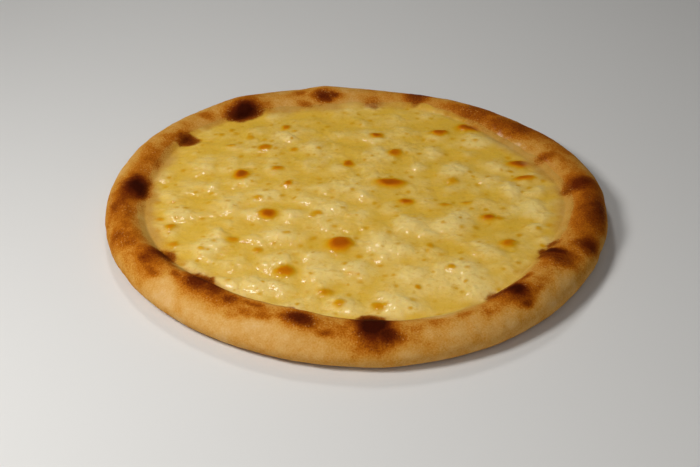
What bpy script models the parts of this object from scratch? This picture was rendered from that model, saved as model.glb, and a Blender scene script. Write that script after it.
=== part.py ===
"""Cheese flatbread: a hand-formed round of leavened dough with a puffed rim, and melted cheese in its well.

Metres, +Z up. The origin is the middle of the underside, which lies flat. -Y is the front, where the rim stands
highest and steepest over the cheese, and +X is to the right seen from there. Angles run anticlockwise from +X,
seen from above.
"""

import math

import bpy
import numpy as np

MM = 0.001

# Plan of the dough: a mean radius and the slow waves that hand stretching leaves in it, as (count, height, phase in
# degrees).
CRUST_RADIUS = 143.7 * MM
CRUST_WAVES = ((2, 2.8 * MM, 68), (3, 2.2 * MM, -55), (4, 1.3 * MM, -101))

# Plan of the cheese, drawn in the same way.
CHEESE_RADIUS = 117.7 * MM
CHEESE_WAVES = (
    (1, 1.1 * MM, 144),
    (2, 3.0 * MM, 50),
    (3, 1.4 * MM, -120),
    (5, 2.5 * MM, 20),
    (6, 1.0 * MM, -42),
)

# Section of the rim, from the flat underside up over the crown and down into the well.
FOOT_INSET = 10.0 * MM
BELLY_HEIGHT = 8.5 * MM
CROWN_HEIGHT = 18.0 * MM
CROWN_WAVES = ((3, 0.5 * MM, 40), (7, 0.5 * MM, 10), (11, 0.35 * MM, 80))
CROWN_SHARE = 0.52
FLOOR_HEIGHT = 7.0 * MM
UNDER_SLOPE = 9.0 * MM
FALL_POWER = 1.6

# The front of the rim is higher, and its crown lies nearer to the cheese, so that its inner side is steep.
FRONT_ANGLE = 252.0
FRONT_SPREAD = 42.0
FRONT_RISE = 1.6 * MM
FRONT_SHARE = 0.20

# Blisters on the rim: angle in degrees, distance from the middle, half length along the rim, half width and
# height.
PUFFS = (
    (275, 134 * MM, 12 * MM, 9 * MM, 1.8 * MM),
    (258, 129 * MM, 9 * MM, 7 * MM, 1.5 * MM),
    (231, 124 * MM, 15 * MM, 6 * MM, 2.2 * MM),
    (211, 126 * MM, 9 * MM, 8 * MM, 1.5 * MM),
    (178, 129 * MM, 10 * MM, 10 * MM, 2.0 * MM),
    (149, 124 * MM, 8 * MM, 7 * MM, 1.2 * MM),
    (123, 129 * MM, 12 * MM, 10 * MM, 3.0 * MM),
    (99, 129 * MM, 11 * MM, 8 * MM, 2.0 * MM),
    (70, 124 * MM, 10 * MM, 7 * MM, 1.5 * MM),
    (45, 127 * MM, 22 * MM, 7 * MM, 1.2 * MM),
    (19, 123 * MM, 9 * MM, 7 * MM, 1.2 * MM),
    (4, 135 * MM, 11 * MM, 9 * MM, 1.8 * MM),
    (350, 135 * MM, 13 * MM, 9 * MM, 1.6 * MM),
    (335, 138 * MM, 8 * MM, 7 * MM, 1.0 * MM),
    (327, 122 * MM, 14 * MM, 7 * MM, 2.2 * MM),
    (310, 130 * MM, 16 * MM, 8 * MM, 2.2 * MM),
)

# Melted cheese: its level, thickness at the edge, swell over the whole of it, and gap to the dough.
CHEESE_LEVEL = 13.0 * MM
CHEESE_EDGE = 0.4 * MM
CHEESE_SWELL = 0.8 * MM
EDGE_BLEND = 9.0 * MM
SEAT_GAP = 0.35 * MM

# Soft curds that stand up out of the cheese: x, y, half length, half width, turn in degrees, height.
CURDS = (
    (32, -29, 9, 8, 10, 2.2),
    (56, -29, 10, 11, 0, 2.4),
    (57, -77, 14, 11, 20, 2.4),
    (25, -54, 9, 7, 15, 2.0),
    (73, -59, 10, 9, -20, 2.4),
    (23, -104, 9, 7, 0, 2.0),
    (15, 50, 10, 9, 30, 1.7),
    (58, 28, 11, 10, -30, 2.0),
    (15, -45, 9, 8, 0, 1.8),
    (-42, -41, 9, 8, 25, 1.9),
    (-12, -14, 8, 8, 0, 1.5),
    (-17, -77, 9, 8, -15, 1.9),
    (-50, -88, 8, 7, 20, 1.8),
    (-102, -18, 8, 8, 0, 1.7),
    (-77, -50, 8, 7, 0, 1.6),
    (80, 65, 15, 7, -42, 2.2),
    (92, 9, 9, 9, 0, 2.2),
    (105, -10, 7, 10, 10, 2.0),
    (3, 74, 14, 8, -10, 1.6),
    (-34, 81, 10, 7, 10, 1.4),
    (-90, 37, 8, 8, 0, 1.4),
)
# Smaller lumps lie between them, one to each cell of a sunflower spiral.
LUMP_COUNT = 90
LUMP_SIZE = (6.0 * MM, 9.0 * MM)
LUMP_HEIGHT = (0.5 * MM, 1.3 * MM)
GOLDEN_ANGLE = math.pi * (3.0 - math.sqrt(5.0))
SEED = 11

# Facets: sections round the rim, rings of the cheese's top, and steps along each stretch of the section.
SECTIONS = 150
CHEESE_RINGS = SECTIONS // 6
SIDE_STEPS = 4
CROWN_STEPS = 6
INNER_STEPS = 6
UNDER_STEPS = 3

CRUST_COLOUR = (0.62, 0.34, 0.12, 1.0)
CHEESE_COLOUR = (0.68, 0.45, 0.11, 1.0)


def waves(angle, table):
    """Sum of cosines round the bread, one for each (count, height, phase in degrees)."""
    return sum(height * np.cos(count * angle + math.radians(phase)) for count, height, phase in table)


def crust_outline(angle):
    """Distance from the middle to the outside of the rim."""
    return CRUST_RADIUS + waves(angle, CRUST_WAVES)


def cheese_outline(angle):
    """Distance from the middle to the edge of the cheese."""
    return CHEESE_RADIUS + waves(angle, CHEESE_WAVES)


def front_share(angle):
    """How much a place belongs to the high front of the rim, from 0 to 1."""
    turn = np.degrees(np.angle(np.exp(1j * (angle - math.radians(FRONT_ANGLE)))))
    return np.exp(-((turn / FRONT_SPREAD) ** 2))


def smooth_step(share):
    """Cubic ease from 0 to 1."""
    share = np.clip(share, 0.0, 1.0)
    return share * share * (3.0 - 2.0 * share)


def puff_height(angle, radius):
    """Height of the blisters over the plain rim, as a sum of soft mounds."""
    total = np.zeros_like(radius)
    for degrees, distance, half_length, half_width, height in PUFFS:
        turn = np.angle(np.exp(1j * (angle - math.radians(degrees))))
        along = turn * distance / half_length
        across = (radius - distance) / half_width
        total += height * np.exp(-(along**2) - across**2)
    return total


def section_of_rim(angle):
    """Rings of (radius, height) round the bread, from the foot to the floor of the well."""
    outside = crust_outline(angle)
    edge = cheese_outline(angle)
    front = front_share(angle)
    crown = outside - (CROWN_SHARE + FRONT_SHARE * front) * (outside - edge)
    top = CROWN_HEIGHT + waves(angle, CROWN_WAVES) + FRONT_RISE * front
    lip = np.full_like(angle, CHEESE_LEVEL)
    rings = []
    for step in range(SIDE_STEPS):
        turn = 0.5 * math.pi * step / SIDE_STEPS
        radius = outside - FOOT_INSET * (1.0 - math.sin(turn))
        rings.append((radius, BELLY_HEIGHT * (1.0 - math.cos(turn))))
    for step in range(CROWN_STEPS):
        turn = 0.5 * math.pi * step / CROWN_STEPS
        radius = crown + (outside - crown) * math.cos(turn)
        rings.append((radius, BELLY_HEIGHT + (top - BELLY_HEIGHT) * math.sin(turn)))
    for step in range(INNER_STEPS):
        share = step / INNER_STEPS
        rings.append((crown + (edge - crown) * share, top + (lip - top) * share**FALL_POWER))
    for step in range(UNDER_STEPS + 1):
        share = step / UNDER_STEPS
        height = FLOOR_HEIGHT + (lip - FLOOR_HEIGHT) * (1.0 - share) ** FALL_POWER
        rings.append((edge - UNDER_SLOPE * share, height))
    return [(radius, height + 0.0 * angle) for radius, height in rings]


def ring_points(angle, radius, height):
    """The ring's corners in space."""
    return np.stack([radius * np.cos(angle), radius * np.sin(angle), height], axis=-1)


def middle_of_outline(angle):
    """Middle of the box round the crust's plan, which is set on the origin."""
    plan = ring_points(angle, crust_outline(angle), 0.0 * angle)
    return 0.5 * (plan.min(axis=0) + plan.max(axis=0))


def puffed_rim(angle):
    """The rings of the rim in space, each moved out of its surface by the blisters on it."""
    rings = section_of_rim(angle)
    radii = np.array([radius for radius, height in rings])
    heights = np.array([height for radius, height in rings])
    along_radius = np.gradient(radii, axis=0)
    along_height = np.gradient(heights, axis=0)
    length = np.hypot(along_radius, along_height)
    first, last = SIDE_STEPS, SIDE_STEPS + CROWN_STEPS + INNER_STEPS
    for ring in range(first, last):
        lift = puff_height(angle, radii[ring])
        radii[ring] += lift * along_height[ring] / length[ring]
        heights[ring] -= lift * along_radius[ring] / length[ring]
    return [ring_points(angle, radii[ring], heights[ring]) for ring in range(len(rings))]


def scattered_lumps():
    """Small lumps on a sunflower spiral, each jogged a little: x, y, half length, half width, turn, height."""
    draw = np.random.default_rng(SEED)
    rows = []
    for index in range(LUMP_COUNT):
        radius = CHEESE_RADIUS * math.sqrt((index + 0.5) / LUMP_COUNT) + draw.uniform(-3.0, 3.0) * MM
        angle = index * GOLDEN_ANGLE + draw.uniform(-0.03, 0.03)
        size = draw.uniform(*LUMP_SIZE)
        place = (radius * math.cos(angle), radius * math.sin(angle))
        shape = (size, size * draw.uniform(0.7, 1.0), draw.uniform(0.0, 180.0), draw.uniform(*LUMP_HEIGHT))
        rows.append(place + shape)
    return rows


def cheese_relief(x, y):
    """Height of the curds and lumps over the cheese's level. They are rounded mounds that meet in soft valleys."""
    placed = [tuple(value * MM for value in row[:4]) + (row[4], row[5] * MM) for row in CURDS]
    total = np.zeros_like(x)
    for middle_x, middle_y, half_length, half_width, turn, height in placed + scattered_lumps():
        cosine, sine = math.cos(math.radians(turn)), math.sin(math.radians(turn))
        along = ((x - middle_x) * cosine + (y - middle_y) * sine) / half_length
        across = ((y - middle_y) * cosine - (x - middle_x) * sine) / half_width
        total = np.maximum(total, height * np.exp(-((along**2 + across**2) ** 1.3)))
    swell = np.cos(x / (31 * MM) + 0.6) * np.cos(y / (27 * MM) - 0.4)
    return total + CHEESE_SWELL * swell


def cheese_top(angle, radius):
    """Height of the melted cheese, which thins to its edge on the dough."""
    share = smooth_step((cheese_outline(angle) - radius) / EDGE_BLEND)
    x, y = radius * np.cos(angle), radius * np.sin(angle)
    edge = CHEESE_LEVEL + SEAT_GAP + CHEESE_EDGE
    return edge + share * (cheese_relief(x, y) - CHEESE_EDGE * 0.5)


def ring_angles(count):
    """Evenly spaced angles round the bread."""
    return np.linspace(0.0, 2.0 * math.pi, count, endpoint=False)


def band_faces(lower, upper, count):
    """Triangles between two rings of the same count, whose first corners are lower and upper."""
    faces = []
    for corner in range(count):
        following = (corner + 1) % count
        faces.append((lower + corner, lower + following, upper + following))
        faces.append((lower + corner, upper + following, upper + corner))
    return faces


def fan_faces(middle, ring, count, upwards):
    """Triangles from a ring to the point in its middle."""
    faces = []
    for corner in range(count):
        following = (corner + 1) % count
        pair = (ring + corner, ring + following) if upwards else (ring + following, ring + corner)
        faces.append((middle,) + pair)
    return faces


def disc_faces(starts):
    """Triangles of a disc whose ring number k has 6 k corners. starts holds each ring's first corner."""
    faces = []
    for ring in range(1, len(starts)):
        inner_count = max(1, 6 * (ring - 1))
        outer_count = 6 * ring
        for side in range(6):
            for step in range(ring):
                inner = (side * (ring - 1) + step) % inner_count
                outer = side * ring + step
                following = (outer + 1) % outer_count
                faces.append((starts[ring - 1] + inner, starts[ring] + outer, starts[ring] + following))
                if step < ring - 1:
                    inner_following = (inner + 1) % inner_count
                    inner_pair = (starts[ring - 1] + inner, starts[ring] + following)
                    faces.append(inner_pair + (starts[ring - 1] + inner_following,))
    return faces


def add_object(name, points, faces, colour, roughness):
    """One named object with its own material, shaded smooth."""
    mesh = bpy.data.meshes.new(name)
    mesh.from_pydata([tuple(point) for point in points], [], faces)
    mesh.validate()
    mesh.update()
    mesh.shade_smooth()
    material = bpy.data.materials.new(name)
    material.use_nodes = True
    shader = material.node_tree.nodes["Principled BSDF"]
    shader.inputs["Base Color"].default_value = colour
    shader.inputs["Roughness"].default_value = roughness
    shader.inputs["Metallic"].default_value = 0.0
    mesh.materials.append(material)
    made = bpy.data.objects.new(name, mesh)
    bpy.context.scene.collection.objects.link(made)
    return made


def make_crust():
    """The dough: a flat underside, the puffed rim and the floor of the well, as one closed skin."""
    angle = ring_angles(SECTIONS)
    rings = puffed_rim(angle)
    middle = middle_of_outline(angle)
    points = np.concatenate(rings + [np.array([[0.0, 0.0, 0.0], [0.0, 0.0, FLOOR_HEIGHT]])])
    points[:, :2] -= middle[:2]
    underside, floor = len(points) - 2, len(points) - 1
    faces = fan_faces(underside, 0, SECTIONS, upwards=False)
    for ring in range(len(rings) - 1):
        faces += band_faces(ring * SECTIONS, (ring + 1) * SECTIONS, SECTIONS)
    faces += fan_faces(floor, (len(rings) - 1) * SECTIONS, SECTIONS, upwards=True)
    return add_object("crust", points, faces, CRUST_COLOUR, roughness=0.75)


def make_cheese():
    """The cheese: a lumpy top that runs out on the dough, and an underside a small gap above the well."""
    angle = ring_angles(SECTIONS)
    middle = middle_of_outline(angle)
    top_rings = [np.array([[0.0, 0.0, cheese_top(np.zeros(1), np.zeros(1))[0]]])]
    starts = [0]
    count = 1
    for ring in range(1, CHEESE_RINGS + 1):
        round_ring = ring_angles(6 * ring)
        radius = cheese_outline(round_ring) * ring / CHEESE_RINGS
        starts.append(count)
        top_rings.append(ring_points(round_ring, radius, cheese_top(round_ring, radius)))
        count += 6 * ring
    faces = disc_faces(starts)
    well = section_of_rim(angle)[-(UNDER_STEPS + 1):]
    under_rings = [ring_points(angle, radius, height + SEAT_GAP) for radius, height in well]
    under_start = count
    points = top_rings + under_rings + [np.array([[0.0, 0.0, FLOOR_HEIGHT + SEAT_GAP]])]
    faces += band_faces(under_start, starts[-1], SECTIONS)
    for ring in range(UNDER_STEPS):
        start = under_start + ring * SECTIONS
        faces += band_faces(start + SECTIONS, start, SECTIONS)
    last = under_start + UNDER_STEPS * SECTIONS
    faces += fan_faces(last + SECTIONS, last, SECTIONS, upwards=False)
    points = np.concatenate(points)
    points[:, :2] -= middle[:2]
    return add_object("cheese", points, faces, CHEESE_COLOUR, roughness=0.3)


def main():
    for old in list(bpy.data.objects):
        bpy.data.objects.remove(old, do_unlink=True)
    make_crust()
    make_cheese()


main()
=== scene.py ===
"""Looks of a cheese flatbread: a round of hand-stretched dough whose puffed, browned rim holds melted cheese.

Lengths are in metres, +Z is up, and the bread rests on the floor with the middle of its box over the origin.
-Y is the front, where the rim stands highest. Angles run anticlockwise from +X, seen from above. The rise of
a place on the rim is its distance in mm along the skin, from the widest line over the crown to the cheese.
Bake is how browned a place is, from 0, raw, to 1, burnt.
"""

import functools
import itertools
import math

import bpy
import numpy as np
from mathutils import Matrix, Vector


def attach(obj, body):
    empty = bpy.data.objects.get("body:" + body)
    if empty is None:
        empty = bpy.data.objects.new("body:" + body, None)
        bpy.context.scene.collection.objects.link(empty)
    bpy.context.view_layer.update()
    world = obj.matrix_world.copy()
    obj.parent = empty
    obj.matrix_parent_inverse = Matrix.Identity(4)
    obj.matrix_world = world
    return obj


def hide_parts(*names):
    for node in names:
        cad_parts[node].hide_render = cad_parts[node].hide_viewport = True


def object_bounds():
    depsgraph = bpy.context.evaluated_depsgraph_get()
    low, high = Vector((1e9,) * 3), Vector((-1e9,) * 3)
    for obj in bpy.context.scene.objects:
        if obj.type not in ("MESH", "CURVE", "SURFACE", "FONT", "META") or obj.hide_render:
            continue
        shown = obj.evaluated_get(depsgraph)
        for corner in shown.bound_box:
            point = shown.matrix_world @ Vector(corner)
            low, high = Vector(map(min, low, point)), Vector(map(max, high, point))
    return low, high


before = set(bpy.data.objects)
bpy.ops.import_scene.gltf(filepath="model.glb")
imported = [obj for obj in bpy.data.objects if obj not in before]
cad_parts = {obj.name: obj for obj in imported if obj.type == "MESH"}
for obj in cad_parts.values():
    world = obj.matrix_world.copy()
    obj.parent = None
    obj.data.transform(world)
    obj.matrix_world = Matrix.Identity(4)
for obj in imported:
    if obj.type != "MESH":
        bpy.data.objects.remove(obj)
SOLID_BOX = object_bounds()

bl_info = {
    "name": "Cheese Flatbread",
    "version": (1, 0, 0),
    "blender": (4, 5, 0),
    "location": "3D View > Sidebar > Flatbread",
    "description": "Makes a baked flatbread with a puffed rim and melted cheese, and a plain stage for it",
    "category": "Object",
}

MM = 0.001
TURN = 2.0 * math.pi

# Plan of the dough and of the cheese: slow waves round a mean radius, as (count, height, phase in degrees).
CRUST_RADIUS = 143.7 * MM
CRUST_WAVES = ((2, 2.8 * MM, 68), (3, 2.2 * MM, -55), (4, 1.3 * MM, -101))
CHEESE_RADIUS = 117.7 * MM
CHEESE_WAVES = (
    (1, 1.1 * MM, 144),
    (2, 3.0 * MM, 50),
    (3, 1.4 * MM, -120),
    (5, 2.5 * MM, 20),
    (6, 1.0 * MM, -42),
)
CROWN_WAVES = ((3, 0.5 * MM, 40), (7, 0.5 * MM, 10), (11, 0.35 * MM, 80))
# The solids' plan has this many corners, and the middle of its box is set on the origin.
PLAN_CORNERS = 150

# Section of the rim. The front is higher, and its crown lies nearer to the cheese.
FOOT_INSET = 10.0 * MM
BELLY_HEIGHT = 8.5 * MM
CROWN_SHARE = 0.52
FLOOR_HEIGHT = 7.0 * MM
UNDER_SLOPE = 9.0 * MM
FALL_POWER = 1.6
FRONT_ANGLE = 252.0
FRONT_SPREAD = 42.0
FRONT_RISE = 1.6 * MM
FRONT_SHARE = 0.20
# Share of the inner side, next to the cheese, along which the blisters of the rim die out.
LIFT_FADE = 0.25

# Grid of the dough's skin: columns round the bread, and rows under the belly, up to the crown, down to the
# cheese and under it. The underside has rings of its own, from a share of its size outwards.
COLUMNS = 960
SECTION_STEPS = (16, 28, 28, 7)
BELLY_ROW, CROWN_ROW, EDGE_ROW, _ = itertools.accumulate(SECTION_STEPS)
UNDERSIDE_START = 0.08
UNDERSIDE_RINGS = 13
# The inner side is also kept as a table of steps outwards from the edge of the cheese.
MARGIN_STEP = 0.5 * MM
MARGIN_STEPS = 30
# Grid of the cheese: places along each side of its square, and loops under its edge.
CHEESE_GRID = 291
UNDER_LOOPS = 4

# Raised blisters of the rim: angle in degrees, distance out, half length, half width and height in mm.
PUFFS = (
    (275, 134, 12, 9, 1.8),
    (258, 129, 9, 7, 1.5),
    (231, 124, 15, 6, 2.2),
    (211, 126, 9, 8, 1.5),
    (178, 129, 10, 10, 2.0),
    (149, 124, 8, 7, 1.2),
    (123, 129, 12, 10, 3.0),
    (99, 129, 11, 8, 2.0),
    (70, 124, 10, 7, 1.5),
    (45, 127, 22, 7, 1.2),
    (19, 123, 9, 7, 1.2),
    (4, 135, 11, 9, 1.8),
    (350, 135, 13, 9, 1.6),
    (335, 138, 8, 7, 1.0),
    (327, 122, 14, 7, 2.2),
    (310, 130, 16, 8, 2.2),
)

# Browned patches of the rim: angle in degrees, rise, half length and half width in mm, lean in degrees, bake.
SCORCHES = (
    (2, 27, 6, 6, 0, 0.62),
    (3.4, 20, 8, 9, 8, 0.84),
    (16.5, 19, 6, 3, 0, 0.46),
    (19.6, 28, 5.5, 8, 10, 0.62),
    (20.5, 13, 9, 4, 0, 0.50),
    (30, 10, 12, 5, 0, 0.52),
    (36.5, 15, 9, 8, 0, 0.66),
    (41, 22, 9, 7, 0, 0.62),
    (50, 18, 9, 6, 0, 0.58),
    (57, 20.5, 8, 3.5, -6, 0.56),
    (70.6, 14, 7.5, 11, 0, 0.78),
    (83.6, 30, 6, 6.5, 0, 0.58),
    (95.8, 25, 5, 3, 10, 0.74),
    (99.2, 26.8, 8, 5.5, 0, 0.84),
    (105.6, 33, 5, 3.2, 0, 0.55),
    (105.8, 21, 5, 3.6, 0, 0.56),
    (124.6, 29, 12.5, 8.5, 6, 1.06),
    (134.4, 19.5, 4.2, 5.5, 0, 0.53),
    (146.9, 30, 8, 8, 20, 0.82),
    (152.8, 27, 6.5, 5, 0, 0.52),
    (162.5, 26, 6, 4.5, 0, 0.54),
    (167.5, 21, 6, 6, 0, 0.46),
    (177.2, 21, 14, 9, -8, 1.05),
    (186.2, 11, 6.5, 2.8, 20, 0.66),
    (190, 15, 7, 3, 15, 0.50),
    (198.7, 10, 3.4, 4.6, 10, 0.66),
    (203.5, 16, 5, 3, 0, 0.46),
    (212, 26.5, 8.5, 9, 20, 0.84),
    (212.4, 16, 6, 3.2, 0, 0.74),
    (217, 13, 5.5, 2.6, -10, 0.64),
    (222.5, 20, 5, 1.8, -10, 0.62),
    (227, 32, 11, 7, 0, 0.76),
    (229.5, 24, 10, 7.5, 0, 0.84),
    (233.6, 23, 8, 5.5, 0, 0.80),
    (239.6, 20.6, 5.5, 3.4, 8, 0.74),
    (245.8, 22, 7.5, 1.8, 0, 0.64),
    (242.5, 13, 5, 3, 0, 0.40),
    (245, 16.5, 5.5, 2.6, 20, 0.53),
    (249.5, 17.5, 4.5, 3, 0, 0.56),
    (253.5, 35, 6, 5, 0, 0.66),
    (257.6, 19.4, 9, 5, -24, 0.94),
    (263.6, 13.6, 6.5, 2.6, 0, 0.62),
    (267.5, 17, 3, 2.2, 0, 0.48),
    (274, 20, 9.5, 12, 0, 1.08),
    (276.8, 12.6, 7.5, 5.5, 12, 0.94),
    (273.8, 29, 9, 8, 0, 0.94),
    (282.5, 16, 4, 3, 0, 0.44),
    (288, 19, 5, 2.4, 0, 0.46),
    (294.8, 19.5, 4.5, 2.2, 0, 0.48),
    (299.8, 16, 3.4, 3.4, 0, 0.53),
    (306, 26.5, 6.5, 7, -25, 0.74),
    (309.6, 21, 6.5, 7, 0, 0.98),
    (308.6, 10.5, 5, 3.4, 0, 0.74),
    (309, 15.5, 6, 4, 0, 0.72),
    (313.8, 14, 7, 2.8, 0, 0.56),
    (316, 24.5, 6.5, 2.4, 38, 0.64),
    (327.8, 22, 8.5, 13, 0, 0.72),
    (330.2, 24, 5, 10.5, 0, 0.92),
    (334.8, 29.5, 8, 3.8, 0, 0.66),
    (336.8, 9.5, 7.5, 6.5, 0, 0.84),
    (346.5, 18, 12, 5, 0, 0.54),
    (350.6, 11, 15, 5.5, 0, 0.76),
    (356, 16, 10, 6, 0, 0.66),
)
# Evenly toasted stretches of it: angle and half length in degrees, rise and half width in mm, and added bake.
TOASTED = (
    (191, 16, 11, 12, 0.24),
    (350, 18, 13, 10, 0.24),
    (44, 17, 19, 12, 0.22),
    (160, 14, 21, 8, 0.12),
    (232, 16, 19, 6, 0.12),
    (308, 12, 18, 10, 0.10),
    (240, 14, 10, 9, -0.14),
)
# Bake of the plain dough, how much more it has on the crown, and the crown's rise and spread.
PLAIN_BAKE = 0.21
CROWN_BAKE = 0.10
CROWN_RISE = 19.0
CROWN_SPREAD = 11.0
UNDERSIDE_BAKE = 0.30
BED_BAKE = 0.20
# Faint halo round each browned patch: its share of the patch's bake, and how fast it falls.
HALO_BAKE = 0.12
HALO_FALL = 0.45

# Noises are rows of (amount, cell in mm, seed, layers). The first two bend the borders of the patches, in mm.
BEND_ALONG = ((1.5, 8, 21, 3), (0.5, 1.8, 25, 1))
BEND_ACROSS = ((1.1, 8, 31, 3), (0.5, 1.8, 35, 1))
DOUGH_BLOTCHES = ((0.09, 24, 41, 3), (0.08, 6, 45, 3))
UNDERSIDE_BLOTCHES = ((0.22, 30, 311, 3), (0.16, 9, 321, 3))
# Relief of the dough in mm, of scorched dough, and of its underside. It dies out at the floor and on the bed.
DOUGH_RELIEF = ((0.35, 26, 51, 3), (0.16, 7, 61, 3), (0.05, 2.0, 71, 1))
SCORCHED_RELIEF = ((0.16, 3.4, 81, 2),)
SCORCHED_BAKE = (0.5, 0.9)
DIMPLES = ((1.0, 16, 301, 3),)
DIMPLE_BLEND = (-0.4, 0.6)
DIMPLE_HEIGHT = 0.25 * MM
DIMPLE_FADE = 0.2
RELIEF_OFF_FLOOR = 5.0 * MM
RELIEF_OFF_BED = (-4.8 * MM, -0.8 * MM)
# Width in mm of the greasy band of dough next to the cheese.
WET_BAND = 9.0

# Soft curds: x, y, half length, half width in mm, turn in degrees, height in mm.
CURDS = (
    (32, -29, 9, 8, 10, 2.2),
    (56, -29, 10, 11, 0, 2.4),
    (57, -77, 14, 11, 20, 2.4),
    (25, -54, 9, 7, 15, 2.0),
    (73, -59, 10, 9, -20, 2.4),
    (23, -104, 9, 7, 0, 2.0),
    (15, 50, 10, 9, 30, 1.7),
    (58, 28, 11, 10, -30, 2.0),
    (15, -45, 9, 8, 0, 1.8),
    (-42, -41, 9, 8, 25, 1.9),
    (-12, -14, 8, 8, 0, 1.5),
    (-17, -77, 9, 8, -15, 1.9),
    (-50, -88, 8, 7, 20, 1.8),
    (-102, -18, 8, 8, 0, 1.7),
    (-77, -50, 8, 7, 0, 1.6),
    (80, 65, 15, 7, -42, 2.2),
    (92, 9, 9, 9, 0, 2.2),
    (105, -10, 7, 10, 10, 2.0),
    (107, 5, 6, 6, 0, 2.2),
    (109, -21, 6, 6, 0, 2.0),
    (102, -31, 6, 5, 0, 1.6),
    (3, 74, 14, 8, -10, 1.6),
    (-34, 81, 10, 7, 10, 1.4),
    (-90, 37, 8, 8, 0, 1.4),
)
# Small lumps between them lie on a sunflower spiral: their number, sizes, and how far each is jogged.
LUMP_COUNT = 90
LUMP_SIZE = (6.0 * MM, 9.0 * MM)
LUMP_ROUNDNESS = (0.7, 1.0)
LUMP_HEIGHT = (0.8 * MM, 1.9 * MM)
LUMP_JOG = 3.0 * MM
LUMP_TURN = 0.03
GOLDEN_ANGLE = math.pi * (3.0 - math.sqrt(5.0))
LUMP_SEED = 11
# Where the cheese's colour gives way to that of greasy dough: angle in degrees, mm outside the cheese's edge.
TINT_EDGES = (
    (0, -5.0),
    (12, -4.5),
    (24, -2.5),
    (38, -2.0),
    (50, 0.5),
    (65, 2.5),
    (80, 1.0),
    (105, -1.0),
    (120, 0.0),
    (135, 1.0),
    (150, -1.0),
    (168, -3.0),
    (182, -6.0),
    (200, -6.0),
    (212, -1.0),
    (260, 1.0),
    (300, 2.0),
    (334, 1.0),
    (344, -3.0),
    (352, -5.5),
)
# Both colours blend over this many mm to each side of that line, which noise makes ragged.
TINT_BLEND = 5.0
TINT_RAGGED = ((2.4, 15, 421, 3), (0.8, 3, 431, 1))

# Browned blisters of the cheese: x, y, half length, half width in mm, turn in degrees, and how brown.
SPOTS = (
    (-8, -50, 6.5, 6.5, 0, 0.80),
    (-49, -19, 5, 5, 0, 0.78),
    (-67, 25, 4.4, 5.2, 0, 0.88),
    (-37, -75, 5, 5, 10, 0.62),
    (21, 15, 8.5, 4.5, 18, 0.80),
    (30, -5, 4.2, 3.2, 0, 0.72),
    (76, -22, 4.2, 4.2, 0, 0.74),
    (84, -50, 4.6, 4, -10, 0.60),
    (-3, 38, 3.4, 4, 0, 0.70),
    (14, 73, 4.4, 3.6, 0, 0.76),
    (25, 51, 4.6, 4.6, -10, 0.66),
    (58, 19, 4.4, 3.6, 0, 0.42),
    (-43, 85, 3.4, 3.4, 0, 0.64),
    (-55, 58, 4.6, 4, 0, 0.60),
    (-46, 32, 3.8, 3, 0, 0.60),
    (-38, 14, 2.6, 3.6, 0, 0.62),
    (-15, -94, 3.8, 3.4, 0, 0.46),
    (-8, -105, 3.4, 4, 0, 0.44),
    (12, -107, 3.4, 3.4, 0, 0.46),
    (-67, -45, 3.8, 3.4, 0, 0.48),
    (-103, -33, 4, 4, 0, 0.52),
    (-99, -50, 3.8, 3.4, 0, 0.48),
    (-53, -55, 2.8, 3, 0, 0.44),
    (51, -74, 2.6, 2.6, 0, 0.44),
    (33, -90, 2.2, 2.2, 0, 0.50),
    (42, -52, 2.4, 3.6, 0, 0.42),
    (-37, 56, 3, 3, 0, 0.46),
    (-77, 81, 2.6, 2.6, 0, 0.40),
    (-65, 71, 3, 2.6, 0, 0.42),
    (-83, 75, 2.2, 2.2, 0, 0.42),
    (-76, 61, 3, 2.4, 0, 0.42),
    (-110, -24, 3, 2.4, 0, 0.46),
    (53, 76, 5, 4, -20, 0.80),
    (82, -23, 3, 2.4, 0, 0.42),
    (65, -5, 3.2, 2.4, 0, 0.44),
    (52, -8, 4, 2.4, 0, 0.46),
    (-21, -19, 3.4, 2.4, 0, 0.42),
    (-56, -2, 3.4, 2.4, 0, 0.42),
    (73, 83, 8, 4.8, -35, 0.84),
    (100, 38, 7.5, 4.2, -38, 0.88),
    (101, 21, 6.5, 3, -10, 0.68),
)
# Each blister's height is a share of its half width. Its browned middle sits in a wider halo and is shifted
# towards its back and right, which paints shade on the sides that face away from the light.
BLISTER_RISE = 0.38
BLISTER_CORE = 0.50
CORE_SHIFT_TO_SHADE = (0.06, 0.14)
BLISTER_HALO = 0.42
BLISTER_HALO_SIZE = 0.70
# Yellow flecks where the fat pooled: bake, cell in mm, seed, and share of the cells that have one.
FLECKS = ((0.36, 9, 131, 0.80), (0.20, 4.5, 141, 0.34))

# What bends the places that curds, blisters and pebbles are read at: reach in mm, cell in mm, and seed.
CURD_BEND = (2.0, 11, 411)
BLISTER_BEND = (0.8, 5, 101)
PEBBLE_BEND = (1.6, 9, 155)
# Pebbles of the melt: cell in mm and seed of the grains, and of the fine and middling pebbles.
PEBBLES = ((2.8, 175), (4.4, 171), (8.0, 181))
FOLDS = ((1.0, 10, 161, 1), (0.6, 5.5, 165, 1))
# The melt is lively in drifting patches and on the curds, and a little calmer on the right.
LIVELY = 0.45
LIVELY_PATCHES = ((0.7, 15, 151, 3),)
LIVELY_LUMPS = 0.3
CALMER = 0.15
CALMER_RIGHT = (20.0 * MM, 70.0 * MM)
# Relief of the cheese: share of the curds' height, then mm of folds, grains, more grains where lively, fine
# and middling pebbles. All but the curds count by a share, and less on a blister. A base is taken off it all.
CURD_RELIEF = 0.80
FOLD_RELIEF = 0.38
GRAIN_RELIEF = 0.10
LIVELY_GRAIN_RELIEF = 0.14
FINE_RELIEF = 0.36
MIDDLING_RELIEF = 0.30
MELT_RELIEF = 0.82
SMOOTH_BLISTER = 0.60
BLISTER_HEIGHT = 0.6
RELIEF_BASE = 0.4
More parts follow.
